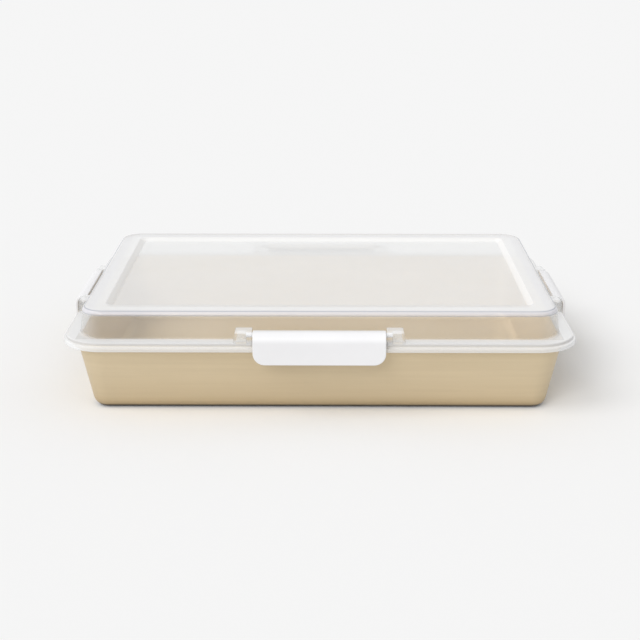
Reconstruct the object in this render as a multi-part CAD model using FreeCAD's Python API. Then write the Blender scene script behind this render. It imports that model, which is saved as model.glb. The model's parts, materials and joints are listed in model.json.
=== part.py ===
import FreeCAD, Part
import math
import os

# A rectangular cake pan, 13 by 9 by 2 inches, with a lid that snaps on for carrying.
# The pan is one pressed sheet: a flat floor, walls that lean out, and a rim rolled into a bead.
# The lid is one clear moulding: a low dome with a sunk top panel, a stepped flange that sits
# over the rim, and a pair of hollow hinge bosses on each side. Four white snap latches, long
# ones at the front and rear and short ones at the ends, turn on trunnions in those bosses,
# and their hooks reach under the rolled bead.
# X runs along the long side, the front is towards -Y, Z is up, and the origin is the middle
# of the pan's underside. Sections are drawn as (out, up): out is measured outwards from the
# pan's inner opening, and up from the surface that the pan stands on.

# Pan
opening_length = 330.2
opening_width = 228.6
pan_height = 50.8
sheet = 0.8
opening_corner_radius = 20.0
pan_draft = 12.5
floor_bend = 8.0
rim_bend = 1.6
bead_radius = 2.4
bead_out = 3.0

# Lid
lid_wall = 1.4
lid_seat_gap = 0.3
bead_clearance = 0.5
ledge_width = 1.65
ledge_drop = 2.5
lip_height = 3.3
dome_inset = 2.3
dome_height = 18.9
dome_draft = 6.5
dome_edge_radius = 3.5
ceiling_bevel = 1.3
flange_bevel = 1.0
border_width = 15.0
panel_drop = 3.0
panel_step_run = 4.0
panel_corner_radius = 6.0

# Latches
long_latch = 88.4
short_latch = 70.0
latch_wall = 2.0
lip_gap = 1.0
flap_below_rim = 12.1
flap_corner = 8.0
flap_edge_radius = 0.8
pivot_out = 5.2
pivot_above_rim = 7.2
barrel_radius = 2.5
trunnion_radius = 1.6
hook_gap = 0.35
hook_thickness = 3.0
hook_bite = 0.6
hook_inset = 5.0

# Hinge bosses
running_gap = 0.05
end_gap = 0.5
lug_width = 3.9
lug_nose = 3.1
boss_length = 13.0
boss_taper = 1.8
boss_edge_radius = 2.5
hollow_inset = 2.0

# Places that follow from the sizes above
pan_lean = math.tan(math.radians(pan_draft))
sheet_across = sheet / math.cos(math.radians(pan_draft))
bead_height = pan_height - bead_radius
shelf_underside = pan_height + lid_seat_gap
shelf_top = shelf_underside + lid_wall
dome_lean = math.tan(math.radians(dome_draft))
dome_top = shelf_top + dome_height
dome_top_out = -dome_inset - dome_lean * dome_height
step_out = bead_out + bead_radius + bead_clearance + lid_wall
lip_out = step_out + ledge_width
ledge_top = shelf_top - ledge_drop
lip_bottom = ledge_top - lip_height
pivot_height = pan_height + pivot_above_rim
latch_top = pivot_height + barrel_radius
flap_out = lip_out + lip_gap + latch_wall
flap_bottom = pan_height - flap_below_rim
hook_reach = math.hypot(pivot_out - bead_out, pivot_height - bead_height) + bead_radius + hook_gap
boss_top = latch_top + hook_gap

UPWARDS = FreeCAD.Vector(0, 0, 1)
ALONG = FreeCAD.Vector(1, 0, 0)

# The side that each latch is on: the angle it is turned by, how far the opening's edge is
# from the middle there, and half the latch's length.
sides = {
    "front": (0, opening_width / 2, long_latch / 2),
    "right": (90, opening_length / 2, short_latch / 2),
    "rear": (180, opening_width / 2, long_latch / 2),
    "left": (270, opening_length / 2, short_latch / 2),
}


def outline(corners):
    """A face in the (out, up) plane through corners given as (out, up, rounding radius). Each
    rounding is two short arcs, whose faces stay light where they are carried round a corner."""
    spans = []
    for index, (out, up, radius) in enumerate(corners):
        here = FreeCAD.Vector(out, 0, up)
        before = corners[index - 1]
        after = corners[(index + 1) % len(corners)]
        back = (FreeCAD.Vector(before[0], 0, before[1]) - here).normalize()
        ahead = (FreeCAD.Vector(after[0], 0, after[1]) - here).normalize()
        half_angle = back.getAngle(ahead) / 2
        reach = radius / math.tan(half_angle)
        depth = radius / math.sin(half_angle) - radius
        middle = here + (back + ahead).normalize() * depth
        spans.append((here + back * reach, middle, here + ahead * reach))
    edges = []
    for index, (start, middle, end) in enumerate(spans):
        if corners[index][2] > 0:
            arc = Part.Arc(start, middle, end)
            half_way = (arc.FirstParameter + arc.LastParameter) / 2
            edges.append(arc.toShape(arc.FirstParameter, half_way))
            edges.append(arc.toShape(half_way, arc.LastParameter))
        following = spans[(index + 1) % len(spans)][0]
        if (following - end).Length > 1e-6:
            edges.append(Part.LineSegment(end, following).toShape())
    return Part.Face(Part.Wire(edges))


def ring_sector(out, up, inner, outer, low, high):
    """A piece of a flat ring in the (out, up) plane, centred on (out, up), between two angles."""
    def at(radius, angle):
        turn = math.radians(angle)
        return FreeCAD.Vector(out + radius * math.cos(turn), 0, up + radius * math.sin(turn))

    middle = (low + high) / 2
    return Part.Face(Part.Wire([
        Part.Arc(at(outer, low), at(outer, middle), at(outer, high)).toShape(),
        Part.LineSegment(at(outer, high), at(inner, high)).toShape(),
        Part.Arc(at(inner, high), at(inner, middle), at(inner, low)).toShape(),
        Part.LineSegment(at(inner, low), at(outer, low)).toShape(),
    ]))


def along_front(section, low, high):
    """A section facing out to the front, stretched along X from low to high."""
    placed = section.copy()
    placed.rotate(FreeCAD.Vector(), UPWARDS, -90)
    placed.translate(FreeCAD.Vector(low, 0, 0))
    return placed.extrude(FreeCAD.Vector(high - low, 0, 0))


def turned(shape, angle):
    """A copy of a shape, turned about the vertical axis of the pan."""
    placed = shape.copy()
    placed.rotate(FreeCAD.Vector(), UPWARDS, angle)
    return placed


def swept_round(section, half_length, half_width, corner):
    """A section carried round a rectangle with rounded corners. A section that starts on the
    corners' own axes, with a flat low and high edge there, is filled across the middle too."""
    straight_x = half_length - corner
    straight_y = half_width - corner
    front = along_front(section, -straight_x, straight_x)
    front.translate(FreeCAD.Vector(0, -half_width, 0))
    end = along_front(section, -straight_y, straight_y)
    end.translate(FreeCAD.Vector(0, -half_length, 0))
    from_axis = section.copy()
    from_axis.translate(FreeCAD.Vector(corner, 0, 0))
    quarter = from_axis.revolve(FreeCAD.Vector(), UPWARDS, 90)
    pieces = [front, turned(front, 180), turned(end, 90), turned(end, 270)]
    for angle, side_x, side_y in ((0, 1, 1), (90, -1, 1), (180, -1, -1), (270, 1, -1)):
        piece = turned(quarter, angle)
        piece.translate(FreeCAD.Vector(side_x * straight_x, side_y * straight_y, 0))
        pieces.append(piece)
    box = section.BoundBox
    if box.XMin + corner < 1e-6:
        axis_edges = [edge for edge in section.Edges if edge.BoundBox.XMax < box.XMin + 1e-6]
        low = min(edge.BoundBox.ZMin for edge in axis_edges)
        high = max(edge.BoundBox.ZMax for edge in axis_edges)
        corner_point = FreeCAD.Vector(-straight_x, -straight_y, low)
        pieces.append(Part.makeBox(2 * straight_x, 2 * straight_y, high - low, corner_point))
    return pieces[0].fuse(pieces[1:]).removeSplitter()


def round_opening(section):
    """A section carried round the pan's opening."""
    return swept_round(section, opening_length / 2, opening_width / 2, opening_corner_radius)


def pan_wall(up):
    """How far out the pan's inner wall is at a height."""
    return -pan_lean * (pan_height - up)


def make_pan():
    """The pressed sheet: floor, leaning wall, a narrow flat seat for the lid, and the rolled bead,
    which is rolled up tight and pressed flat below, against the wall."""
    bead_bottom = pan_height - 2 * bead_radius
    return round_opening(outline([
        (-opening_corner_radius, 0, 0),
        (pan_wall(0) + sheet_across, 0, floor_bend),
        (pan_wall(bead_bottom) + sheet_across, bead_bottom, 0),
        (bead_out + bead_radius, bead_bottom, bead_radius),
        (bead_out + bead_radius, pan_height, bead_radius),
        (0, pan_height, rim_bend),
        (pan_wall(sheet), sheet, floor_bend - sheet),
        (-opening_corner_radius, sheet, 0),
    ]))


def dome_wall(up):
    """How far out the dome's outer face is at a height."""
    return -dome_inset - dome_lean * (up - shelf_top)


def panel_sweep(section):
    """A section carried round the upper edge of the sunk top panel."""
    inset = dome_wall(dome_top) - border_width
    half_length = opening_length / 2 + inset
    half_width = opening_width / 2 + inset
    return swept_round(section, half_length, half_width, panel_corner_radius)


def make_lid_shell():
    """The clear moulding of even thickness, before its hinge bosses: an outer form less an inner one."""
    outer = round_opening(outline([
        (-opening_corner_radius, lip_bottom, 0),
        (lip_out, lip_bottom, 0),
        (lip_out, ledge_top, 0),
        (step_out, ledge_top, 0),
        (step_out, shelf_top - flange_bevel, 0),
        (step_out - flange_bevel, shelf_top, 0),
        (dome_wall(shelf_top), shelf_top, 0),
        (dome_wall(dome_top), dome_top, dome_edge_radius),
        (-opening_corner_radius, dome_top, 0),
    ]))
    across = lid_wall / math.cos(math.radians(dome_draft))
    ceiling = dome_top - lid_wall
    inner = round_opening(outline([
        (-opening_corner_radius, lip_bottom - lid_wall, 0),
        (lip_out - lid_wall, lip_bottom - lid_wall, 0),
        (lip_out - lid_wall, ledge_top - lid_wall, 0),
        (step_out - lid_wall, ledge_top - lid_wall, 0),
        (step_out - lid_wall, shelf_underside, 0),
        (dome_wall(shelf_underside) - across, shelf_underside, 0),
        (dome_wall(ceiling - ceiling_bevel) - across, ceiling - ceiling_bevel, 0),
        (dome_wall(ceiling) - across - ceiling_bevel, ceiling, 0),
        (-opening_corner_radius, ceiling, 0),
    ]))
    panel_top = dome_top - panel_drop
    step_slope = math.atan2(panel_drop, panel_step_run)
    sunk = panel_sweep(outline([
        (-panel_corner_radius, panel_top, 0),
        (-panel_step_run, panel_top, 0),
        (0, dome_top, 0),
        (lid_wall, dome_top, 0),
        (lid_wall, dome_top + lid_wall, 0),
        (-panel_corner_radius, dome_top + lid_wall, 0),
    ]))
    shift = lid_wall / math.sin(step_slope)
    panel_under = panel_top - lid_wall
    under_panel = panel_sweep(outline([
        (-panel_corner_radius, panel_under, 0),
        (shift - (dome_top - panel_under) / math.tan(step_slope), panel_under, 0),
        (shift, dome_top, 0),
        (-panel_corner_radius, dome_top, 0),
    ]))
    return outer.cut(sunk).cut(inner.cut(under_panel))


def tapered_block(section, low, high, taper):
    """A section stretched along X, whose far end leans inwards by taper up to the boss's top."""
    block = along_front(section, low, high)
    depth = 2 * flap_out
    side = outline([
        (low, shelf_underside - lid_wall, 0),
        (high, shelf_underside - lid_wall, 0),
        (high, shelf_top, 0),
        (high - taper, boss_top, 0),
        (low, boss_top, 0),
    ])
    side.translate(FreeCAD.Vector(0, flap_out, 0))
    return block.common(side.extrude(FreeCAD.Vector(0, -depth, 0)))


def make_boss(half_latch):
    """One hollow hinge boss beside a latch at the front: its solid, and what is cut from it."""
    start = half_latch + end_gap
    end = start + boss_length
    mid_wall = lid_wall / 2
    root = dome_wall(shelf_top) - mid_wall
    root_top = dome_wall(boss_top) - mid_wall
    shoulder = shelf_top - flange_bevel
    box = tapered_block(outline([
        (root, shoulder, 0),
        (step_out, shoulder, 0),
        (step_out, boss_top, boss_edge_radius),
        (root_top, boss_top, 0),
        (root, shelf_top, 0),
    ]), start, end, boss_taper)
    nose = pivot_out + lug_nose
    lug = along_front(outline([
        (root, shoulder, 0),
        (nose, shoulder, 0),
        (nose, boss_top, boss_edge_radius),
        (root_top, boss_top, 0),
        (root, shelf_top, 0),
    ]), start, start + lug_width)
    hollow = tapered_block(outline([
        (dome_wall(shelf_top) + hollow_inset, shelf_underside - lid_wall, 0),
        (step_out - lid_wall, shelf_underside - lid_wall, 0),
        (step_out - lid_wall, boss_top - lid_wall, 0),
        (dome_wall(shelf_top) + hollow_inset, boss_top - lid_wall, 0),
    ]), start + lug_width, end - lid_wall, boss_taper)
    bore_start = FreeCAD.Vector(start - end_gap, -pivot_out, pivot_height)
    bore_length = end_gap + lug_width
    bore = Part.makeCylinder(trunnion_radius + running_gap, bore_length, bore_start, ALONG)
    return box.fuse(lug), hollow.fuse(bore)


def make_lid():
    """The shell with a pair of hinge bosses on each side, hollowed from below and bored."""
    added = []
    removed = []
    for angle, half_span, half_latch in sides.values():
        solid, hollow = make_boss(half_latch)
        for shape, kept in ((solid, added), (hollow, removed)):
            for copy in (shape, shape.mirror(FreeCAD.Vector(), ALONG)):
                copy.translate(FreeCAD.Vector(0, -half_span, 0))
                kept.append(turned(copy, angle))
    return make_lid_shell().fuse(added).cut(removed).removeSplitter()


def make_latch(half_latch):
    """A snap latch at the front: curved flap, hinge barrel, two trunnions and a full hook."""
    shoulder = flap_out - pivot_out
    flap_in = flap_out - latch_wall
    flap = along_front(outline([
        (pivot_out, latch_top, 0),
        (flap_out, latch_top, shoulder),
        (flap_out, flap_bottom, flap_edge_radius),
        (flap_in, flap_bottom, flap_edge_radius),
        (flap_in, latch_top - latch_wall, shoulder - latch_wall),
        (pivot_out, latch_top - latch_wall, 0),
    ]), -half_latch, half_latch)
    front = outline([
        (-half_latch, flap_bottom, flap_corner),
        (half_latch, flap_bottom, flap_corner),
        (half_latch, latch_top, 0),
        (-half_latch, latch_top, 0),
    ])
    flap = flap.common(front.extrude(FreeCAD.Vector(0, -flap_out, 0)))
    half_hook = half_latch - hook_inset
    hook_outer = hook_reach + hook_thickness
    lower_ring = ring_sector(pivot_out, pivot_height, hook_reach, hook_outer, -180, 0)
    ring = along_front(lower_ring, -half_hook, half_hook)
    tip = bead_out - hook_bite
    reach = flap_out - latch_wall / 2 - tip
    corner_point = FreeCAD.Vector(-half_hook, -tip - reach, flap_bottom)
    hook = ring.common(Part.makeBox(2 * half_hook, reach, pivot_height - flap_bottom, corner_point))
    barrel_start = FreeCAD.Vector(-half_latch, -pivot_out, pivot_height)
    barrel = Part.makeCylinder(barrel_radius, 2 * half_latch, barrel_start, ALONG)
    half_pin = half_latch + end_gap + lug_width
    pin_start = FreeCAD.Vector(-half_pin, -pivot_out, pivot_height)
    trunnions = Part.makeCylinder(trunnion_radius, 2 * half_pin, pin_start, ALONG)
    return flap.fuse([hook, barrel, trunnions]).removeSplitter()


os.makedirs("parts", exist_ok=True)
shapes = {"pan": make_pan(), "lid": make_lid()}
for name, (angle, half_span, half_latch) in sides.items():
    latch = make_latch(half_latch)
    latch.translate(FreeCAD.Vector(0, -half_span, 0))
    shapes["latch_" + name] = turned(latch, angle)
for name, shape in shapes.items():
    solid = shape.Solids[0]
    solid.exportStep("parts/" + name + ".step")
    print(name, len(shape.Solids), "solid", solid.isValid(), round(solid.Volume), "mm3",
          len(solid.Faces), "faces", [round(value, 2) for value in (
              solid.BoundBox.XMin, solid.BoundBox.XMax, solid.BoundBox.YMin,
              solid.BoundBox.YMax, solid.BoundBox.ZMin, solid.BoundBox.ZMax)])
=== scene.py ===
# %% [markdown]
# # A cake pan with a clear lid and four snap latches
#
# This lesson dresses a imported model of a 13 by 9 by 2 inch cake pan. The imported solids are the
# frame: they say where each piece is and how it moves. Every piece here is drawn again as a
# finer mesh in the same place, because a rounded edge and an even wall are what make clear
# plastic and pressed metal look real.

# %% Load the frame
import json
import math
import bmesh
import bpy
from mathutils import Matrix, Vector

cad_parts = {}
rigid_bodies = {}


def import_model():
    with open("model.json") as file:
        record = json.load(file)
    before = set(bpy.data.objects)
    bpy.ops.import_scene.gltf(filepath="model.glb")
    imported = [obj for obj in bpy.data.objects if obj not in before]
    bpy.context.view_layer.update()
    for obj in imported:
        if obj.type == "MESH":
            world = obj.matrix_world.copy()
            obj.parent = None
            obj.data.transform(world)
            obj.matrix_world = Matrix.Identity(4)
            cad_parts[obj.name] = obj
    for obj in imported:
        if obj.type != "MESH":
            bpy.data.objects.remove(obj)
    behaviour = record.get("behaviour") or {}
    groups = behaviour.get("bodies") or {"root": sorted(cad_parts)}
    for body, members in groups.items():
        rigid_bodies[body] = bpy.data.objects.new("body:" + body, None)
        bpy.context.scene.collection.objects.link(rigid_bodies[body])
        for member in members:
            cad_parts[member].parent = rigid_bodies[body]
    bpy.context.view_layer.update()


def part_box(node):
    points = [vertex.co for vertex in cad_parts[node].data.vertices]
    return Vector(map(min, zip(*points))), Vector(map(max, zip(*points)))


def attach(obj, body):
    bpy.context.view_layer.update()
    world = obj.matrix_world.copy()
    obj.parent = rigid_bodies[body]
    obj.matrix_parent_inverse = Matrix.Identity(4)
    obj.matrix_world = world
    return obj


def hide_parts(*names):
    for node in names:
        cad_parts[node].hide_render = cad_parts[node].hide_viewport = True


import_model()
MM = 0.001

# %% [markdown]
# ## The camera
#
# The photograph looks slightly down on the front of the pan, from about a metre away. The lens,
# the height and the tilt were worked out from the pan's own straight edges, whose real lengths
# are known. The camera comes first, because every later step is judged through it.

# %% Place the camera
camera_distance = 983.7 * MM
camera_height = 338.6 * MM
camera_side = 5.43 * MM
look_down = math.radians(17.363)
turn_left = math.radians(0.335)
film_width = 36.0
lens_length = 77.13
camera_data = bpy.data.cameras.new("photo_camera")
camera_data.sensor_width = film_width
camera_data.lens = lens_length
camera = bpy.data.objects.new("photo_camera", camera_data)
bpy.context.scene.collection.objects.link(camera)
camera.location = (camera_side, -camera_distance, camera_height)
camera.rotation_euler = (math.pi / 2 - look_down, 0, turn_left)
bpy.context.scene.camera = camera
print("camera at", [round(value, 3) for value in camera.location], "lens", camera_data.lens)

# %% [markdown]
# ## Helpers that work in edit mode
#
# All shaping below is done with the same operators as by hand. An operator acts on whatever is
# selected, so everything is deselected first, and then edges or points are picked by where they
# are. The select mode is set to edges or points before each pick: in point mode an edge counts
# as selected only if both its points are, and a pick of edges alone would be lost. A new piece
# starts as a primitive, whose size and place go into its mesh at once, so that its object stays
# at the origin.

# %% Select and edit
near = 0.01 * MM


def deselect_all():
    """Leaves no object selected, so that an operator touches only what comes next."""
    for item in bpy.context.view_layer.objects:
        item.select_set(False)


def make_active(piece):
    """Selects one piece alone and makes it the active one."""
    deselect_all()
    piece.select_set(True)
    bpy.context.view_layer.objects.active = piece


def settle(piece):
    """Moves a piece's place, turn and size into its mesh, so that the object is at the origin."""
    make_active(piece)
    bpy.ops.object.transform_apply(location=True, rotation=True, scale=True)


def new_piece(name, add, scale, place, **start):
    """A new piece from one of Blender's primitives, with its name, at its size and place."""
    deselect_all()
    add(**start)
    piece = bpy.context.object
    piece.name = name
    piece.data.name = name
    piece.scale = scale
    piece.location = place
    settle(piece)
    return piece


def apply_modifier(piece, kind, **settings):
    """Adds a modifier, sets it up and applies it at once."""
    make_active(piece)
    modifier = piece.modifiers.new(kind.lower(), kind)
    for name, value in settings.items():
        setattr(modifier, name, value)
    bpy.ops.object.modifier_apply(modifier=modifier.name)


def pick(piece, kind, wanted):
    """In edit mode, selects the points ("VERT") or edges ("EDGE") wanted, and counts them."""
    bpy.ops.mesh.select_mode(type=kind)
    bpy.ops.mesh.select_all(action="DESELECT")
    mesh = bmesh.from_edit_mesh(piece.data)
    count = 0
    for item in (mesh.verts if kind == "VERT" else mesh.edges):
        if wanted(item):
            item.select_set(True)
            count += 1
    bmesh.update_edit_mesh(piece.data)
    return count


def lies(axis, low, high):
    """A test for pick: whether a point, or both ends of an edge, lie in a span of one axis."""
    def test(item):
        ends = item.verts if hasattr(item, "verts") else [item]
        return all(low - near < end.co[axis] < high + near for end in ends)
    return test


# %% [markdown]
# ## The studio
#
# The object stands on a plain pale sweep with soft light from the upper left, so its shadow
# falls softly to the right. A sun with a wide disc gives that soft edge and lights a large floor
# evenly. Where the camera looks at the floor, it has its own shade of pale grey and a very faint
# glow, which give the backdrop's near-white and keep the shadow. The light on the object stays
# plain.

# %% Shader helpers
def node_of(tree, kind, **inputs):
    """Adds a shader node and sets its named inputs to plain values."""
    node = tree.nodes.new(kind)
    for name, value in inputs.items():
        node.inputs[name.replace("_", " ")].default_value = value
    return node


def worked_out(tree, operation, first, second):
    """One step of arithmetic on two values, each a socket or a plain number."""
    step = tree.nodes.new("ShaderNodeMath")
    step.operation = operation
    for socket, value in zip(step.inputs, (first, second)):
        if isinstance(value, (int, float)):
            socket.default_value = value
        else:
            tree.links.new(value, socket)
    return step.outputs[0]


def mix_shaders(tree, share, first, second):
    """A mix of two shader nodes: the first where the share is 0, the second where it is 1."""
    mix = tree.nodes.new("ShaderNodeMixShader")
    tree.links.new(share, mix.inputs[0])
    tree.links.new(first.outputs[0], mix.inputs[1])
    tree.links.new(second.outputs[0], mix.inputs[2])
    return mix


def new_material(name):
    """An empty node material, with its output node ready."""
    material = bpy.data.materials.new(name)
    material.use_nodes = True
    tree = material.node_tree
    tree.nodes.clear()
    output = tree.nodes.new("ShaderNodeOutputMaterial")
    return material, tree, output


# %% World
background_white = 0.925
ambient_light = 0.64


def grey(shade):
    """A neutral colour."""
    return (shade, shade, shade, 1)


def sees_background(tree):
    """A value of 1 for camera, mirrored and see-through rays, and 0 for all other light."""
    path = tree.nodes.new("ShaderNodeLightPath")
    camera_ray, mirrored_ray = path.outputs["Is Camera Ray"], path.outputs["Is Glossy Ray"]
    seen = worked_out(tree, "MAXIMUM", camera_ray, mirrored_ray)
    return worked_out(tree, "MAXIMUM", seen, path.outputs["Is Transmission Ray"])


bpy.context.scene.view_settings.view_transform = "Standard"
world = bpy.data.worlds.new("studio")
world.use_nodes = True
bpy.context.scene.world = world
world_tree = world.node_tree
world_tree.nodes.clear()
world_output = world_tree.nodes.new("ShaderNodeOutputWorld")
plain_sky = node_of(world_tree, "ShaderNodeBackground", Color=grey(1), Strength=ambient_light)
seen_sky = node_of(world_tree, "ShaderNodeBackground", Color=grey(1), Strength=background_white)
sky = mix_shaders(world_tree, sees_background(world_tree), plain_sky, seen_sky)
world_tree.links.new(sky.outputs[0], world_output.inputs[0])
print("world nodes:", len(world_tree.nodes))

# %% Floor
floor_size = 60.0
floor_albedo = 0.70
seen_albedo = 0.888
floor_lift = 0.02
floor = new_piece("studio_floor", bpy.ops.mesh.primitive_plane_add, (1, 1, 1), (0, 0, 0),
                  size=floor_size)
floor_paint, floor_tree, floor_output = new_material("studio_floor")
matt_floor = node_of(floor_tree, "ShaderNodeBsdfDiffuse", Color=grey(floor_albedo))
seen_floor = node_of(floor_tree, "ShaderNodeBsdfDiffuse", Color=grey(seen_albedo))
lift = node_of(floor_tree, "ShaderNodeEmission", Color=grey(1), Strength=floor_lift)
lifted_floor = floor_tree.nodes.new("ShaderNodeAddShader")
floor_tree.links.new(seen_floor.outputs[0], lifted_floor.inputs[0])
floor_tree.links.new(lift.outputs[0], lifted_floor.inputs[1])
floor_look = mix_shaders(floor_tree, sees_background(floor_tree), matt_floor, lifted_floor)
floor_tree.links.new(floor_look.outputs[0], floor_output.inputs[0])
floor.data.materials.append(floor_paint)
print("floor in metres:", [round(side, 1) for side in floor.dimensions])


# %% Lamps
def soft_sun(name, place, strength, disc):
    """A sun that shines from a place towards the pan. Its disc is an angle in degrees."""
    lamp_data = bpy.data.lights.new(name, "SUN")
    lamp_data.energy = strength
    lamp_data.angle = math.radians(disc)
    lamp = bpy.data.objects.new(name, lamp_data)
    bpy.context.scene.collection.objects.link(lamp)
    lamp.location = place
    lamp.rotation_euler = Vector(place).to_track_quat("Z", "Y").to_euler()
    return lamp


key_sun = soft_sun("key_sun", place=(-1.1, -0.5, 1.3), strength=0.76, disc=34)
front_sun = soft_sun("front_sun", place=(-0.6, -1.4, 1.05), strength=1.08, disc=30)
print("lamps:", key_sun.name, front_sun.name)

# %% [markdown]
# ## Sections carried round a rounded rectangle
#
# The pan and the lid are both one section carried round the same rounded rectangle. In Blender
# that is a plane with its corners rounded, which is then inset again and again: each inset moves
# in by the section's next step, and its depth is the step up or down. Every ring so made is an
# even strip of four-sided faces, and an inset keeps its distance all the way round, just as a
# press or a mould does.

# %% Section points and rings of insets
corner_steps = 16
bend_step = math.radians(9)
fewest_steps = 2


def rounded_path(corners):
    """The points of a section through corners given as (out, up, radius), each one rounded."""
    points = [Vector(corners[0][:2])]
    for before, here, after in zip(corners, corners[1:], corners[2:]):
        corner = Vector(here[:2])
        back = (Vector(before[:2]) - corner).normalized()
        ahead = (Vector(after[:2]) - corner).normalized()
        if here[2] == 0:
            points.append(corner)
            continue
        half_angle = back.angle(ahead) / 2
        centre = corner + (back + ahead).normalized() * here[2] / math.sin(half_angle)
        first = (corner + back * here[2] / math.tan(half_angle) - centre).normalized()
        last = (corner + ahead * here[2] / math.tan(half_angle) - centre).normalized()
        steps = max(fewest_steps, round((math.pi - 2 * half_angle) / bend_step))
        for step in range(steps + 1):
            points.append(centre + first.slerp(last, step / steps) * here[2])
    points.append(Vector(corners[-1][:2]))
    return points


def rounded_rectangle(name, half_length, half_width, corner, height):
    """A flat plane at its size and height, with its four corners rounded."""
    piece = new_piece(name, bpy.ops.mesh.primitive_plane_add, (half_length, half_width, 1),
                      (0, 0, height), size=2)
    bpy.ops.object.mode_set(mode="EDIT")
    pick(piece, "VERT", lies(2, height, height))
    bpy.ops.mesh.bevel(offset=corner, segments=corner_steps, affect="VERTICES", profile=0.5)
    bpy.ops.object.mode_set(mode="OBJECT")
    return piece


def inset_along(piece, section):
    """Insets the piece's one flat face from each point of a section to the next."""
    make_active(piece)
    bpy.ops.object.mode_set(mode="EDIT")
    bpy.ops.mesh.select_all(action="SELECT")
    for here, following in zip(section, section[1:]):
        bpy.ops.mesh.inset(thickness=here.x - following.x, depth=following.y - here.y,
                           use_even_offset=True)
    bpy.ops.object.mode_set(mode="OBJECT")


# %% Join, soften and shade
merge_distance = 0.1 * near


def turn_faces_out(piece):
    """Merges the points that meet and turns all faces the same way, outwards on a closed piece."""
    make_active(piece)
    bpy.ops.object.mode_set(mode="EDIT")
    bpy.ops.mesh.select_all(action="SELECT")
    bpy.ops.mesh.remove_doubles(threshold=merge_distance)
    bpy.ops.mesh.normals_make_consistent(inside=False)
    bpy.ops.object.mode_set(mode="OBJECT")


def join_pieces(pieces):
    """Joins pieces into the first one and merges the points that meet."""
    make_active(pieces[0])
    for piece in pieces:
        piece.select_set(True)
    bpy.ops.object.join()
    turn_faces_out(pieces[0])
    return pieces[0]


def soften(piece, width, sharpness=40, steps=3):
    """Bevels the edges that are sharper than an angle, all by the same small width."""
    make_active(piece)
    bpy.ops.object.mode_set(mode="EDIT")
    bpy.ops.mesh.select_mode(type="EDGE")
    bpy.ops.mesh.select_all(action="DESELECT")
    bpy.ops.mesh.edges_select_sharp(sharpness=math.radians(sharpness))
    bpy.ops.mesh.bevel(offset=width, segments=steps, affect="EDGES", profile=0.5,
                       clamp_overlap=True)
    bpy.ops.object.mode_set(mode="OBJECT")


def shade(piece, angle=35):
    """Shades a finished piece smooth round its bends and flat on its flats."""
    make_active(piece)
    bpy.ops.object.shade_smooth_by_angle(angle=math.radians(angle))
    apply_modifier(piece, "WEIGHTED_NORMAL", keep_sharp=True)


def measure(piece):
    """Prints a piece's box in millimetres, its faces, and the edges that don't join two faces."""
    mesh = bmesh.new()
    mesh.from_mesh(piece.data)
    open_edges = sum(not edge.is_manifold for edge in mesh.edges)
    triangles = sum(len(face.verts) - 2 for face in mesh.faces)
    places = [vertex.co / MM for vertex in mesh.verts]
    low = [round(min(place[axis] for place in places), 2) for axis in range(3)]
    high = [round(max(place[axis] for place in places), 2) for axis in range(3)]
    mesh.free()
    print(piece.name, "from", low, "to", high, triangles, "triangles,", open_edges, "open edges")


# %% [markdown]
# ## The pan
#
# The real pan is pressed from one sheet of steel: a flat floor, walls that lean out so that pans
# stack, a narrow flat seat and a rolled bead, which stiffens the rim and gives the latches an
# edge to hook under. It is made as two skins that start on the same outline, the widest line of
# the bead. One goes over the bead and down inside, the other under the bead and down outside,
# and where they meet at the outline the points are merged into one closed sheet. Every point
# keeps a mark of 0 inside and 1 outside, so that the finish can treat the two sides differently.

# %% Sizes of the pan
pan_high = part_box("pan")[1]
sheet = 0.8 * MM
wall_angle = math.radians(12.5)
wall_lean = math.tan(wall_angle)
sheet_across = sheet / math.cos(wall_angle)
floor_bend = 8.0 * MM
rim_bend = 1.6 * MM
under_bead_bend = 0.3 * MM
bead_radius = 2.4 * MM
bead_out = 3.0 * MM
corner_radius = 20.0 * MM
pan_height = pan_high.z
half_length = pan_high.x - bead_out - bead_radius
half_width = pan_high.y - bead_out - bead_radius
print("opening in mm:", round(2 * half_length / MM, 1), "by", round(2 * half_width / MM, 1))


def pan_wall(up):
    """How far out the pan's inner wall is at a height."""
    return -wall_lean * (pan_height - up)


# %% Press the pan
def make_pan():
    """The whole pan, as an inner and an outer skin that share the bead's widest line."""
    widest = bead_out + bead_radius
    middle_up = pan_height - bead_radius
    bead_bottom = pan_height - 2 * bead_radius
    inner = rounded_path([
        (widest, middle_up, 0),
        (widest, pan_height, bead_radius),
        (0, pan_height, rim_bend),
        (pan_wall(sheet), sheet, floor_bend - sheet),
        (pan_wall(sheet) - floor_bend, sheet, 0),
    ])
    outer = rounded_path([
        (widest, middle_up, 0),
        (widest, bead_bottom, bead_radius),
        (pan_wall(bead_bottom) + sheet_across, bead_bottom, under_bead_bend),
        (pan_wall(0) + sheet_across, 0, floor_bend),
        (pan_wall(0) + sheet_across - floor_bend, 0, 0),
    ])
    skins = []
    for name, section, mark in (("pressed_pan", inner, 0.0), ("pan_outside", outer, 1.0)):
        skin = rounded_rectangle(name, half_length + widest, half_width + widest,
                                 corner_radius + widest, middle_up)
        inset_along(skin, section)
        outside = skin.data.attributes.new("outside", "FLOAT", "POINT")
        outside.data.foreach_set("value", [mark] * len(skin.data.vertices))
        skins.append(skin)
    return join_pieces(skins)


pressed_pan = make_pan()
shade(pressed_pan)
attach(pressed_pan, "pan")
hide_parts("pan")
measure(pressed_pan)

# %% [markdown]
# ## The lid's shell
#
# The lid is one thin moulding: a lip that hangs outside the bead, a ledge and a flat flange, a
# low dome, and a top panel that is sunk by a slope so that other tubs can stand on it. Only its
# outer skin is drawn. The panel has rounder corners than the dome's top would give it, so it
# starts as an outline of its own and is bridged to the dome. Solidify then gives the skin one
# even wall, inwards, and the sharp edges that a mould never has are bevelled last.

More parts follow.
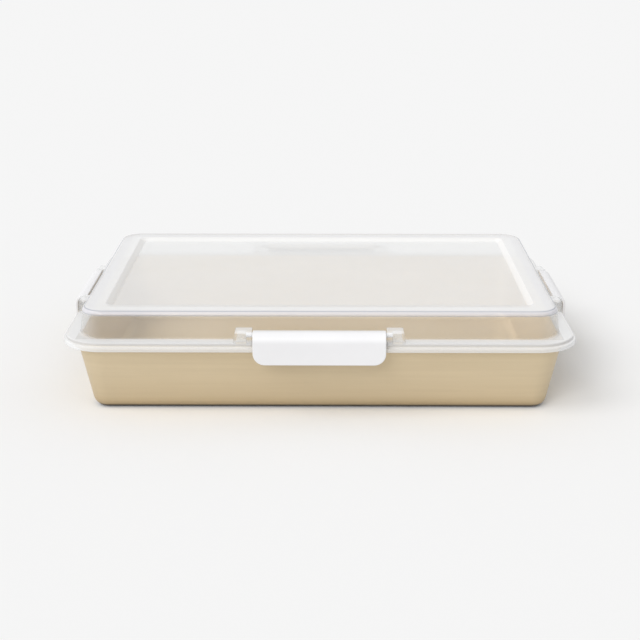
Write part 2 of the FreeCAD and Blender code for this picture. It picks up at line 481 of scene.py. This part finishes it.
# %% Sizes of the lid
lid_low, lid_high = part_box("lid")
lid_wall = 1.4 * MM
step_out = 7.3 * MM
lip_out = 8.95 * MM
ledge_top = 50.0 * MM
shelf_top = 52.5 * MM
dome_foot = -2.3 * MM
dome_lean = math.tan(math.radians(6.5))
dome_foot_radius = 1.6 * MM
dome_edge_radius = 3.5 * MM
dome_top = lid_high.z
lip_bottom = lid_low.z
border_width = 15.0 * MM
panel_corner = 6.0 * MM
inmost_corner = 0.5 * MM
panel_drop = 3.0 * MM
panel_run = 4.0 * MM
panel_edge_radius = 1.8 * MM
lip_edge_radius = 0.6 * MM


def dome_wall(up):
    """How far out the dome's outer face is at a height."""
    return dome_foot - dome_lean * (up - shelf_top)


# %% Draw the dome and the panel
def draw_dome():
    """The outer skin from the lip up to the dome's top, where it is left open."""
    skin = rounded_rectangle("lid_shell", half_length + lip_out, half_width + lip_out,
                             corner_radius + lip_out, lip_bottom)
    top_inset = dome_wall(dome_top) - 2 * dome_edge_radius
    inset_along(skin, rounded_path([
        (lip_out, lip_bottom, 0),
        (lip_out, ledge_top, 0),
        (step_out, ledge_top, 0),
        (step_out, shelf_top, 0),
        (dome_foot, shelf_top, dome_foot_radius),
        (dome_wall(dome_top), dome_top, dome_edge_radius),
        (top_inset, dome_top, 0),
    ]))
    make_active(skin)
    bpy.ops.object.mode_set(mode="EDIT")
    bpy.ops.mesh.delete(type="ONLY_FACE")
    bpy.ops.object.mode_set(mode="OBJECT")
    return skin


def draw_panel():
    """The outer skin of the sunk panel, from the top of its slope to its middle."""
    panel_out = dome_wall(dome_top) - border_width
    panel = rounded_rectangle("lid_panel", half_length + panel_out + panel_edge_radius,
                              half_width + panel_out + panel_edge_radius,
                              panel_corner + panel_edge_radius, dome_top)
    inset_along(panel, rounded_path([
        (panel_edge_radius, dome_top, 0),
        (0, dome_top, panel_edge_radius),
        (-panel_run, dome_top - panel_drop, panel_edge_radius),
        (inmost_corner - panel_corner, dome_top - panel_drop, 0),
    ]))
    return panel


# %% Mould the shell
def make_shell():
    """The lid's even wall, from the lip to the sunk panel, without its hinge bosses."""
    skin = draw_dome()
    panel = draw_panel()
    make_active(skin)
    panel.select_set(True)
    bpy.ops.object.join()
    bpy.ops.object.mode_set(mode="EDIT")
    level = lies(2, dome_top, dome_top)
    rims = pick(skin, "EDGE", lambda edge: edge.is_boundary and level(edge))
    bpy.ops.mesh.bridge_edge_loops()
    bpy.ops.object.mode_set(mode="OBJECT")
    print("bridged", rims, "edges between the dome and the panel")
    turn_faces_out(skin)
    apply_modifier(skin, "SOLIDIFY", thickness=lid_wall, offset=-1, use_even_offset=True,
                   use_quality_normals=True)
    soften(skin, lip_edge_radius)
    return skin


lid_shell = make_shell()
measure(lid_shell)

# %% [markdown]
# ## The hinge bosses
#
# Each latch turns between a pair of bosses that stand on the flange, against the dome. A boss is
# a thin-walled box, open below, because a solid lump would sink as the plastic cools. Its inner
# end is a thicker lug with a bore for the latch's pin. One boss is modelled for each length of
# latch, mirrored for its partner, copied round the lid, and united with the shell in one go, so
# that no wall runs on inside another and shows through the clear plastic.

# %% Sizes of the bosses and latches
latch_low, latch_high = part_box("latch_front")
side_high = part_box("latch_right")[1]
pivot_out = 5.2 * MM
pivot_height = 58.0 * MM
barrel_radius = 2.5 * MM
trunnion_radius = 1.6 * MM
bore_clearance = 0.05 * MM
pin_sides = 32
end_gap = 0.5 * MM
lug_width = 3.9 * MM
lug_nose = 3.1 * MM
boss_length = 13.0 * MM
boss_taper = 1.8 * MM
boss_edge_radius = 2.5 * MM
boss_top = 60.85 * MM
boss_root_depth = 1.2 * MM
boss_foot_depth = 1.0 * MM
hollow_inset = 2.0 * MM
hollow_depth = 4.2 * MM
small_edge = 0.4 * MM
hair = 0.02 * MM
pin_length = end_gap + lug_width
half_latch_front = latch_high.x - pin_length
half_latch_side = side_high.y - pin_length
sides = {
    "front": (0, half_width, half_latch_front),
    "right": (90, half_length, half_latch_side),
    "rear": (180, half_width, half_latch_front),
    "left": (270, half_length, half_latch_side),
}
print("latches in mm:", round(2 * half_latch_front / MM, 1), "and",
      round(2 * half_latch_side / MM, 1))


def sides_with(half_latch):
    """The sides that carry a latch of one half length, each as its name, angle and half span."""
    return [(name, angle, half_span) for name, (angle, half_span, half) in sides.items()
            if half == half_latch]


# %% Blocks, pins and cuts
def block(name, low, high):
    """A box between two corners, given as (along, out, up) at the front. Out is towards -Y."""
    along, out, up = [(start + end) / 2 for start, end in zip(low, high)]
    return new_piece(name, bpy.ops.mesh.primitive_cube_add,
                     [end - start for start, end in zip(low, high)], (along, -out, up), size=1)


def lean_in(piece, end, top, amount):
    """Moves the top edge of a block's end face towards the block's middle."""
    make_active(piece)
    bpy.ops.object.mode_set(mode="EDIT")
    at_end, at_top = lies(0, end, end), lies(2, top, top)
    pick(piece, "EDGE", lambda edge: at_end(edge) and at_top(edge))
    bpy.ops.transform.translate(value=(-amount, 0, 0))
    bpy.ops.object.mode_set(mode="OBJECT")


def round_front_edge(piece, out, top, radius, steps=8):
    """Rounds a block's upper edge that faces the front."""
    make_active(piece)
    bpy.ops.object.mode_set(mode="EDIT")
    at_front, at_top = lies(1, -out, -out), lies(2, top, top)
    pick(piece, "EDGE", lambda edge: at_front(edge) and at_top(edge))
    bpy.ops.mesh.bevel(offset=radius, segments=steps, affect="EDGES", profile=0.5)
    bpy.ops.object.mode_set(mode="OBJECT")


def round_pin(name, radius, length, place):
    """A round pin along X that starts at place, given as (along, out, up)."""
    return new_piece(name, bpy.ops.mesh.primitive_cylinder_add, (1, 1, 1),
                     (place[0] + length / 2, -place[1], place[2]), vertices=pin_sides,
                     radius=radius, depth=length, rotation=(0, math.pi / 2, 0))


def combine(piece, tool, operation):
    """Unites a piece with a tool, or cuts the tool out of it, and removes the tool."""
    apply_modifier(piece, "BOOLEAN", operation=operation, object=tool, solver="EXACT")
    bpy.data.objects.remove(tool)


def copy_round(piece, angle, half_span, mirrored):
    """A copy of a front piece, set against one side of the pan."""
    twin = piece.copy()
    twin.data = piece.data.copy()
    bpy.context.scene.collection.objects.link(twin)
    if mirrored:
        twin.scale = (-1, 1, 1)
        settle(twin)
        turn_faces_out(twin)
    twin.location = (0, -half_span, 0)
    settle(twin)
    twin.rotation_euler = (0, 0, math.radians(angle))
    settle(twin)
    return twin


# %% Model a boss
def boss_solid(start, end):
    """A boss as one solid: a box whose far end leans in, and a lug that reaches further out."""
    root = dome_foot - boss_root_depth
    foot = shelf_top - boss_foot_depth
    box = block("boss_box", (start, root, foot), (end, step_out - hair, boss_top))
    lean_in(box, end, boss_top, boss_taper)
    round_front_edge(box, step_out - hair, boss_top, boss_edge_radius)
    soften(box, small_edge, steps=2)
    nose = pivot_out + lug_nose
    lug = block("boss_lug", (start - hair, root + hair, foot + hair),
                (start + lug_width, nose, boss_top + hair))
    round_front_edge(lug, nose, boss_top + hair, boss_edge_radius)
    soften(lug, small_edge, steps=2)
    combine(box, lug, "UNION")
    return box


def boss_hollow(start, end):
    """What is cut from a boss: its inside, which opens below, and the bore for the latch's pin."""
    hollow_end = end - lid_wall
    hollow_out = step_out - lid_wall
    hollow_top = boss_top - lid_wall
    hollow = block("boss_hollow",
                   (start + lug_width, dome_foot + hollow_inset, shelf_top - hollow_depth),
                   (hollow_end, hollow_out, hollow_top))
    lean_in(hollow, hollow_end, hollow_top, boss_taper)
    round_front_edge(hollow, hollow_out, hollow_top, boss_edge_radius - lid_wall)
    bore = round_pin("boss_bore", trunnion_radius + bore_clearance, pin_length + lid_wall,
                     (start - end_gap, pivot_out, pivot_height))
    combine(hollow, bore, "UNION")
    return hollow


# %% Build the bosses onto the shell
def add_bosses(shell):
    """Unites eight bosses with the lid's shell and then opens all of them from below."""
    solids = []
    hollows = []
    for half_latch in (half_latch_front, half_latch_side):
        start = half_latch + end_gap
        solid = boss_solid(start, start + boss_length)
        hollow = boss_hollow(start, start + boss_length)
        for _, angle, half_span in sides_with(half_latch):
            for mirrored in (False, True):
                solids.append(copy_round(solid, angle, half_span, mirrored))
                hollows.append(copy_round(hollow, angle, half_span, mirrored))
        bpy.data.objects.remove(solid)
        bpy.data.objects.remove(hollow)
    combine(shell, join_pieces(solids), "UNION")
    combine(shell, join_pieces(hollows), "DIFFERENCE")


add_bosses(lid_shell)
shade(lid_shell)
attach(lid_shell, "lid")
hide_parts("lid")
measure(lid_shell)

# %% [markdown]
# ## The latches
#
# A latch is one white moulding. Its flap is a plate that bends over the hinge, with two round
# lower corners for the thumb. The barrel under the bend carries a pin at each end, and a hook
# along the inside swings under the bead in an arc about the pins. The flap is a plane whose top
# edge is spun through a quarter turn, drawn on inwards over the barrel and then thickened. The
# hook is spun about the hinge. Both are how the real shapes come about.

# %% Sizes of a latch
latch_wall = 2.0 * MM
flap_bottom = latch_low.z
flap_out = -latch_low.y - half_width
latch_top = latch_high.z
flap_corner = 8.0 * MM
flap_corner_steps = 12
spin_steps = 10
latch_edge_radius = 0.6 * MM
pin_edge = 0.25 * MM
hook_reach = 12.6 * MM
hook_thickness = 3.0 * MM
hook_inset = 5.0 * MM
hook_tip = bead_out - 0.4 * MM
print("flap in mm:", round((latch_top - flap_bottom) / MM, 1), "high")


# %% Model a latch
def make_flap(half_latch):
    """The bent plate: its outer face first, then its thickness inwards."""
    bend = flap_out - pivot_out
    bend_height = latch_top - bend
    flap = new_piece("latch_flap", bpy.ops.mesh.primitive_plane_add,
                     (2 * half_latch, bend_height - flap_bottom, 1),
                     (0, -flap_out, (bend_height + flap_bottom) / 2),
                     size=1, rotation=(math.pi / 2, 0, 0))
    bpy.ops.object.mode_set(mode="EDIT")
    pick(flap, "VERT", lies(2, flap_bottom, flap_bottom))
    bpy.ops.mesh.bevel(offset=flap_corner, segments=flap_corner_steps, affect="VERTICES",
                       profile=0.5)
    pick(flap, "EDGE", lies(2, bend_height, bend_height))
    bpy.ops.mesh.spin(steps=spin_steps, angle=math.pi / 2, center=(0, -pivot_out, bend_height),
                      axis=(1, 0, 0))
    pick(flap, "EDGE", lies(1, -pivot_out, -pivot_out))
    bpy.ops.mesh.extrude_region_move(
        TRANSFORM_OT_translate={"value": (0, barrel_radius - hair, 0)})
    bpy.ops.object.mode_set(mode="OBJECT")
    turn_faces_out(flap)
    if sum(face.normal.y * face.area for face in flap.data.polygons) > 0:
        flap.data.flip_normals()
    apply_modifier(flap, "SOLIDIFY", thickness=latch_wall, offset=-1, use_even_offset=True,
                   use_quality_normals=True)
    soften(flap, latch_edge_radius)
    return flap


def make_hook(half_latch):
    """The hook under the bead: a strip that is spun about the hinge."""
    half_hook = half_latch - hook_inset
    middle_radius = hook_reach + hook_thickness / 2
    tip_angle = math.asin((pivot_out - hook_tip) / middle_radius)
    root_angle = math.asin((flap_out - latch_wall / 2 - pivot_out) / middle_radius)
    hook = new_piece("latch_hook", bpy.ops.mesh.primitive_plane_add,
                     (2 * half_hook, hook_thickness, 1), (0, 0, -middle_radius),
                     size=1, rotation=(math.pi / 2, 0, 0))
    hook.rotation_euler = (tip_angle, 0, 0)
    settle(hook)
    bpy.ops.object.mode_set(mode="EDIT")
    bpy.ops.mesh.select_all(action="SELECT")
    bpy.ops.mesh.spin(steps=spin_steps, dupli=False, angle=tip_angle + root_angle,
                      center=(0, 0, 0), axis=(1, 0, 0))
    bpy.ops.object.mode_set(mode="OBJECT")
    turn_faces_out(hook)
    hook.location = (0, -pivot_out, pivot_height)
    settle(hook)
    soften(hook, small_edge, steps=2)
    return hook


def make_latch(half_latch):
    """A whole latch at the front, against the pan's middle line."""
    barrel = round_pin("barrel", barrel_radius, 2 * half_latch,
                       (-half_latch, pivot_out, pivot_height))
    half_pin = half_latch + pin_length
    pins = round_pin("pins", trunnion_radius, 2 * half_pin, (-half_pin, pivot_out, pivot_height))
    for piece in (barrel, pins):
        soften(piece, pin_edge, steps=2)
    latch = join_pieces([make_flap(half_latch), barrel, pins, make_hook(half_latch)])
    shade(latch)
    return latch


# %% Copy the latches to their sides
latches = []
for half_latch in (half_latch_front, half_latch_side):
    pattern = make_latch(half_latch)
    for name, angle, half_span in sides_with(half_latch):
        latch = copy_round(pattern, angle, half_span, False)
        latch.name = "snap_latch_" + name
        latch.data.name = latch.name
        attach(latch, "latch_" + name)
        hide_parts("latch_" + name)
        latches.append(latch)
        measure(latch)
    bpy.data.objects.remove(pattern)


# %% [markdown]
# ## Patterns for the finishes
#
# All three finishes are made of the same few parts: a noise that is stretched or left even, a
# range that the noise is spread over, and a bump that is as deep as the real texture in metres.
# Where a finish changes up the wall, a value follows the height in straight runs. All of them
# read Object coordinates, which are metres from the middle of the pan's underside, so a pattern
# has its real size, stays on its piece when the piece moves, and needs no unwrapping.

# %% Noise, ranges and heights
def noise_of(tree, stretch, detail=3.0):
    """A noise whose number of grains per metre is given along X, Y and Z."""
    place = tree.nodes.new("ShaderNodeTexCoord")
    mapping = node_of(tree, "ShaderNodeMapping", Scale=stretch)
    noise = node_of(tree, "ShaderNodeTexNoise", Scale=1.0, Detail=detail, Roughness=0.55)
    tree.links.new(place.outputs["Object"], mapping.inputs["Vector"])
    tree.links.new(mapping.outputs[0], noise.inputs["Vector"])
    return noise.outputs["Fac"]


def spread(tree, value, low, high, start=0.15, end=0.85):
    """Spreads a value's range from start to end over values from low to high."""
    ranged = node_of(tree, "ShaderNodeMapRange", From_Min=start, From_Max=end,
                     To_Min=low, To_Max=high)
    tree.links.new(value, ranged.inputs["Value"])
    return ranged.outputs["Result"]


def place_of(tree):
    """Where a spot of the surface is, in metres, as outputs X, Y and Z."""
    place = tree.nodes.new("ShaderNodeTexCoord")
    parts = tree.nodes.new("ShaderNodeSeparateXYZ")
    tree.links.new(place.outputs["Object"], parts.inputs[0])
    return parts.outputs


def by_height(tree, steps):
    """A value that changes with height: straight runs between steps given as (height, value)."""
    up = place_of(tree)["Z"]
    total = steps[0][1]
    for (low, first), (high, second) in zip(steps, steps[1:]):
        run = spread(tree, up, 0, second - first, start=low, end=high)
        total = worked_out(tree, "ADD", run, total)
    return total


# %% Colours, bumps and dressing
def mix_colours(tree, value, first, second):
    """A colour between two, chosen by a value from 0 to 1. Each is a colour or a socket."""
    mix = tree.nodes.new("ShaderNodeMix")
    mix.data_type = "RGBA"
    tree.links.new(value, mix.inputs["Factor"])
    for socket, colour in ((mix.inputs[6], first), (mix.inputs[7], second)):
        if isinstance(colour, tuple):
            socket.default_value = colour
        else:
            tree.links.new(colour, socket)
    return mix.outputs[2]


def bump_of(tree, height, depth, strength=1.0, under=None):
    """A bump as deep as depth, in metres, laid over another bump if one is given."""
    bump = node_of(tree, "ShaderNodeBump", Strength=strength, Distance=depth)
    tree.links.new(height, bump.inputs["Height"])
    if under is not None:
        tree.links.new(under, bump.inputs["Normal"])
    return bump.outputs["Normal"]


def dress(piece, material):
    """Gives a piece one material."""
    piece.data.materials.clear()
    piece.data.materials.append(material)


# %% [markdown]
# ## The pan's coating
#
# The steel carries a champagne non-stick coat: satin, a little metallic, with a faint grain that
# runs along the walls and a fine tooth that the spray leaves. The grain is a noise that is long
# across and short upwards, so it reads as level streaks on every wall. It shifts the colour by a
# few percent only and the gloss a bit more, because that is how such a coat shows in soft light.
# Outside, the coat is painted browner and darker low down, a painted shade, and the lowest few
# millimetres are painted near black, a painted contact shadow along the bottom edge.

# %% Champagne coating
champagne_deep = (0.615, 0.500, 0.330, 1)
champagne_pale = (0.725, 0.605, 0.415, 1)
champagne_painted_low_shade = (0.430, 0.310, 0.160, 1)
# Painted contact shadow: near black along the pan's bottom edge.
painted_contact_shadow = (0.045, 0.030, 0.015, 1)
coat_roughness = (0.34, 0.48)
grain_stretch = (14, 14, 420)
patch_stretch = (11, 11, 22)
patch_share = 0.45
tooth_stretch = (1300, 1300, 1300)
grain_depth = 0.015 * MM
tooth_depth = 0.02 * MM
# Painted shade: the outside is painted browner and darker up to these heights.
low_shade_by_height = ((2 * MM, 0.70), (10 * MM, 0.15), (26 * MM, 0))
# Heights of the painted contact shadow along the bottom edge.
contact_shadow_by_height = ((1.5 * MM, 0.97), (3.2 * MM, 0))


def make_coating():
    """The satin champagne non-stick coat, with painted shade low down on the outside."""
    material, tree, output = new_material("champagne_coating")
    coat = node_of(tree, "ShaderNodeBsdfPrincipled", Metallic=0.4, Specular_IOR_Level=0.45)
    grain = noise_of(tree, grain_stretch, detail=4.0)
    patches = noise_of(tree, patch_stretch, detail=2.0)
    tooth = noise_of(tree, tooth_stretch, detail=2.0)
    both = node_of(tree, "ShaderNodeMix", Factor=patch_share)
    tree.links.new(grain, both.inputs["A"])
    tree.links.new(patches, both.inputs["B"])
    shade_share = spread(tree, both.outputs["Result"], 0, 1)
    colour = mix_colours(tree, shade_share, champagne_deep, champagne_pale)
    outside = tree.nodes.new("ShaderNodeAttribute")
    outside.attribute_name = "outside"
    # Painted shade low on the outside, then the painted contact shadow along the bottom edge.
    for steps, painted_shade_colour in ((low_shade_by_height, champagne_painted_low_shade), (contact_shadow_by_height, painted_contact_shadow)):
        painted_shade = worked_out(tree, "MULTIPLY", by_height(tree, steps), outside.outputs["Fac"])
        colour = mix_colours(tree, painted_shade, colour, painted_shade_colour)
    tree.links.new(colour, coat.inputs["Base Color"])
    tree.links.new(spread(tree, grain, *coat_roughness), coat.inputs["Roughness"])
    fine = bump_of(tree, tooth, tooth_depth, 0.5)
    tree.links.new(bump_of(tree, grain, grain_depth, 0.5, fine), coat.inputs["Normal"])
    tree.links.new(coat.outputs[0], output.inputs["Surface"])
    return material


coating = make_coating()
dress(pressed_pan, coating)
print("coating nodes:", len(coating.node_tree.nodes))

# %% [markdown]
# ## The lid's clear plastic
#
# The lid is thin polypropylene: clear enough to show the pan behind its upright walls, and milky
# where the eye meets it at a low angle, as on the wide top. Glass would bend the view and look
# hard, and it is slow. So the plastic is a mix of a pale satin skin and plain transparency. The
# share of skin grows with Layer Weight's Facing, because a low view passes through more of the
# haze, and a soft noise makes the haze as uneven as moulded plastic is. On the upright walls it
# grows less, since the mould stretched them thin there.
#
# Some parts look thicker and get more skin: the flange, the bosses and most of all their roofs,
# the groove between ledge and flange, and the panel's slope. The dome's top bend and a thin line
# along each side of it get more skin too, so that their painted colours show. Each of them is
# found by a mask, a value of 1 on it and 0 off it, which is made from the height and from the
# distance out from the pan's opening. The masks also paint light and shade on these parts: the
# groove grey as painted shade, the bend greyer and its lines dark as painted reflections, and the
# slope paler as painted light. Plastic seen at a low angle is painted a darker blue-grey by Layer
# Weight's Facing, a painted reflection. Lamp light and soft light pass straight through, so that
# the pan's inside is lit as it is under a real clear lid.

# %% Parts of the lid with more skin, and painted light and shade
flange_edge = (-1.9 * MM, -1.1 * MM)
bend_edge = (-13 * MM, -12 * MM)
flange_by_height = ((52.7 * MM, 1.0), (54 * MM, 0.5), (59.2 * MM, 0.5), (59.7 * MM, 1.6))
groove_band = (50.0, 50.4, 51.7, 52.2)
# The lines along the dome's top bend are painted reflections, not edges of the moulding.
line_bands = ((67.7, 67.95, 68.2, 68.5), (70.55, 70.75, 71.0, 71.15))
slope_band = (68.45, 68.7, 71.1, 71.35)
bend_band = (68.3, 68.6, 70.3, 70.7)


def outside_of(tree, low, high):
    """A value that runs from 0 to 1 between two distances out from the pan's opening."""
    place = place_of(tree)
    spans = []
    for axis, half_span in (("X", half_length), ("Y", half_width)):
        span = worked_out(tree, "ABSOLUTE", place[axis], 0)
        spans.append(worked_out(tree, "SUBTRACT", span, half_span))
    return spread(tree, worked_out(tree, "MAXIMUM", *spans), 0, 1, start=low, end=high)


def within(tree, *bands):
    """1 within bands of height, 0 outside. A band rises and falls between its heights, in mm."""
    return by_height(tree, [(height * MM, value) for band in bands
                            for height, value in zip(band, (0, 1, 1, 0))])


def lid_parts(tree):
    """The masks of the parts that get more skin or painted light and shade, by name."""
    outer = outside_of(tree, *bend_edge)
    inner = worked_out(tree, "SUBTRACT", 1.0, outer)
    flange = by_height(tree, flange_by_height)
    return {
        "flange": worked_out(tree, "MULTIPLY", outside_of(tree, *flange_edge), flange),
        "groove": within(tree, groove_band),
        "lines": worked_out(tree, "MULTIPLY", within(tree, *line_bands), outer),
        "slope": worked_out(tree, "MULTIPLY", within(tree, slope_band), inner),
        "bend": worked_out(tree, "MULTIPLY", within(tree, bend_band), outer),
    }


# %% Clear plastic
haze_colour = (0.895, 0.897, 0.902, 1)
# Painted reflection: plastic seen at a low angle is painted this darker blue-grey.
painted_edge_reflection_colour = (0.50, 0.55, 0.60, 1)
painted_reflection_facing = (0.80, 0.96)
clear_tint = (0.98, 0.985, 0.985, 1)
lamp_tint = (0.95, 0.95, 0.95, 1)
# Painted light and shade: the groove grey as shade, the bend greyer and its lines dark as
# reflections, the slope paler as light.
painted_light_and_shade_colours = {
    "groove": (0.66, 0.65, 0.64, 1),
    "slope": (0.945, 0.940, 0.935, 1),
    "bend": (0.73, 0.72, 0.76, 1),
    "lines": (0.40, 0.42, 0.47, 1),
}
# More skin on each part; on the bend and its lines it lets the painted colours show.
extra_skin = {"flange": 0.24, "groove": 0.22, "lines": 0.30, "slope": 0.13, "bend": 0.26}
least_skin = 0.12
skin_variation = 0.02
haze_growth = 0.58
wall_growth = 0.30
growth_by_height = ((53 * MM, haze_growth), (54 * MM, wall_growth),
                    (66.5 * MM, wall_growth), (67.5 * MM, haze_growth))
top_by_height = ((67.0 * MM, 0), (69.5 * MM, 0.14))
skin_roughness = (0.16, 0.24)
cloud_stretch = (16, 16, 16)
frost_stretch = (700, 700, 700)
frost_depth = 0.004 * MM


def skin_share(tree, facing, clouds, parts):
    """How much of the plastic is seen as skin, from 0 to 1, where the rest is clear."""
    thick = by_height(tree, top_by_height)
    for name, extra in extra_skin.items():
        thick = worked_out(tree, "ADD", thick, worked_out(tree, "MULTIPLY", parts[name], extra))
    growth = worked_out(tree, "MULTIPLY", facing, by_height(tree, growth_by_height))
    share = worked_out(tree, "ADD", growth, thick)
    cloudy = spread(tree, clouds, least_skin - skin_variation, least_skin + skin_variation)
    return worked_out(tree, "ADD", share, cloudy)


def make_clear_plastic():
    """The lid's slightly frosted see-through plastic, with painted light, shade and reflections.
    """
    material, tree, output = new_material("clear_plastic")
    skin = node_of(tree, "ShaderNodeBsdfPrincipled", Specular_IOR_Level=0.5)
    clear = node_of(tree, "ShaderNodeBsdfTransparent", Color=clear_tint)
    facing = node_of(tree, "ShaderNodeLayerWeight", Blend=0.5).outputs["Facing"]
    frost = noise_of(tree, frost_stretch, detail=2.0)
    clouds = noise_of(tree, cloud_stretch, detail=3.0)
    parts = lid_parts(tree)
    # Painted reflection: a darker blue-grey where the plastic is seen at a low angle.
    edge = spread(tree, facing, 0, 1, *painted_reflection_facing)
    colour = mix_colours(tree, edge, haze_colour, painted_edge_reflection_colour)
    # Painted light and shade on the groove, the slope, the bend and its lines.
    for name, painted_part_colour in painted_light_and_shade_colours.items():
        colour = mix_colours(tree, parts[name], colour, painted_part_colour)
    tree.links.new(colour, skin.inputs["Base Color"])
    tree.links.new(spread(tree, clouds, *skin_roughness), skin.inputs["Roughness"])
    tree.links.new(bump_of(tree, frost, frost_depth, 0.6), skin.inputs["Normal"])
    plastic = mix_shaders(tree, skin_share(tree, facing, clouds, parts), clear, skin)
    path = tree.nodes.new("ShaderNodeLightPath")
    shadow_ray, soft_ray = path.outputs["Is Shadow Ray"], path.outputs["Is Diffuse Ray"]
    either = worked_out(tree, "MAXIMUM", shadow_ray, soft_ray)
    lit_through = node_of(tree, "ShaderNodeBsdfTransparent", Color=lamp_tint)
    whole = mix_shaders(tree, either, plastic, lit_through)
    tree.links.new(whole.outputs[0], output.inputs["Surface"])
    return material


clear_plastic = make_clear_plastic()
dress(lid_shell, clear_plastic)
print("clear plastic nodes:", len(clear_plastic.node_tree.nodes))

# %% [markdown]
# ## The latches' white plastic
#
# The latches are white polypropylene with a satin, finely spark-eroded face, which is what keeps
# a white part from looking like paper. The texture is a fine noise as a shallow bump, with a
# second noise for the gloss, and the white varies by a percent or two, slightly cool.

# %% White plastic
white_bright = (0.875, 0.872, 0.885, 1)
white_shade = (0.835, 0.832, 0.845, 1)
white_roughness = (0.34, 0.44)
tint_stretch = (45, 45, 45)
spark_stretch = (2200, 2200, 2200)
spark_depth = 0.01 * MM


def make_white_plastic():
    """The latches' satin white plastic."""
    material, tree, output = new_material("white_plastic")
    skin = node_of(tree, "ShaderNodeBsdfPrincipled", Specular_IOR_Level=0.5)
    tint = noise_of(tree, tint_stretch, detail=3.0)
    spark = noise_of(tree, spark_stretch, detail=2.0)
    colour = mix_colours(tree, spread(tree, tint, 0, 1), white_shade, white_bright)
    tree.links.new(colour, skin.inputs["Base Color"])
    tree.links.new(spread(tree, tint, *white_roughness), skin.inputs["Roughness"])
    tree.links.new(bump_of(tree, spark, spark_depth, 0.6), skin.inputs["Normal"])
    tree.links.new(skin.outputs[0], output.inputs["Surface"])
    return material


white_plastic = make_white_plastic()
for latch in latches:
    dress(latch, white_plastic)
print("white plastic nodes:", len(white_plastic.node_tree.nodes))
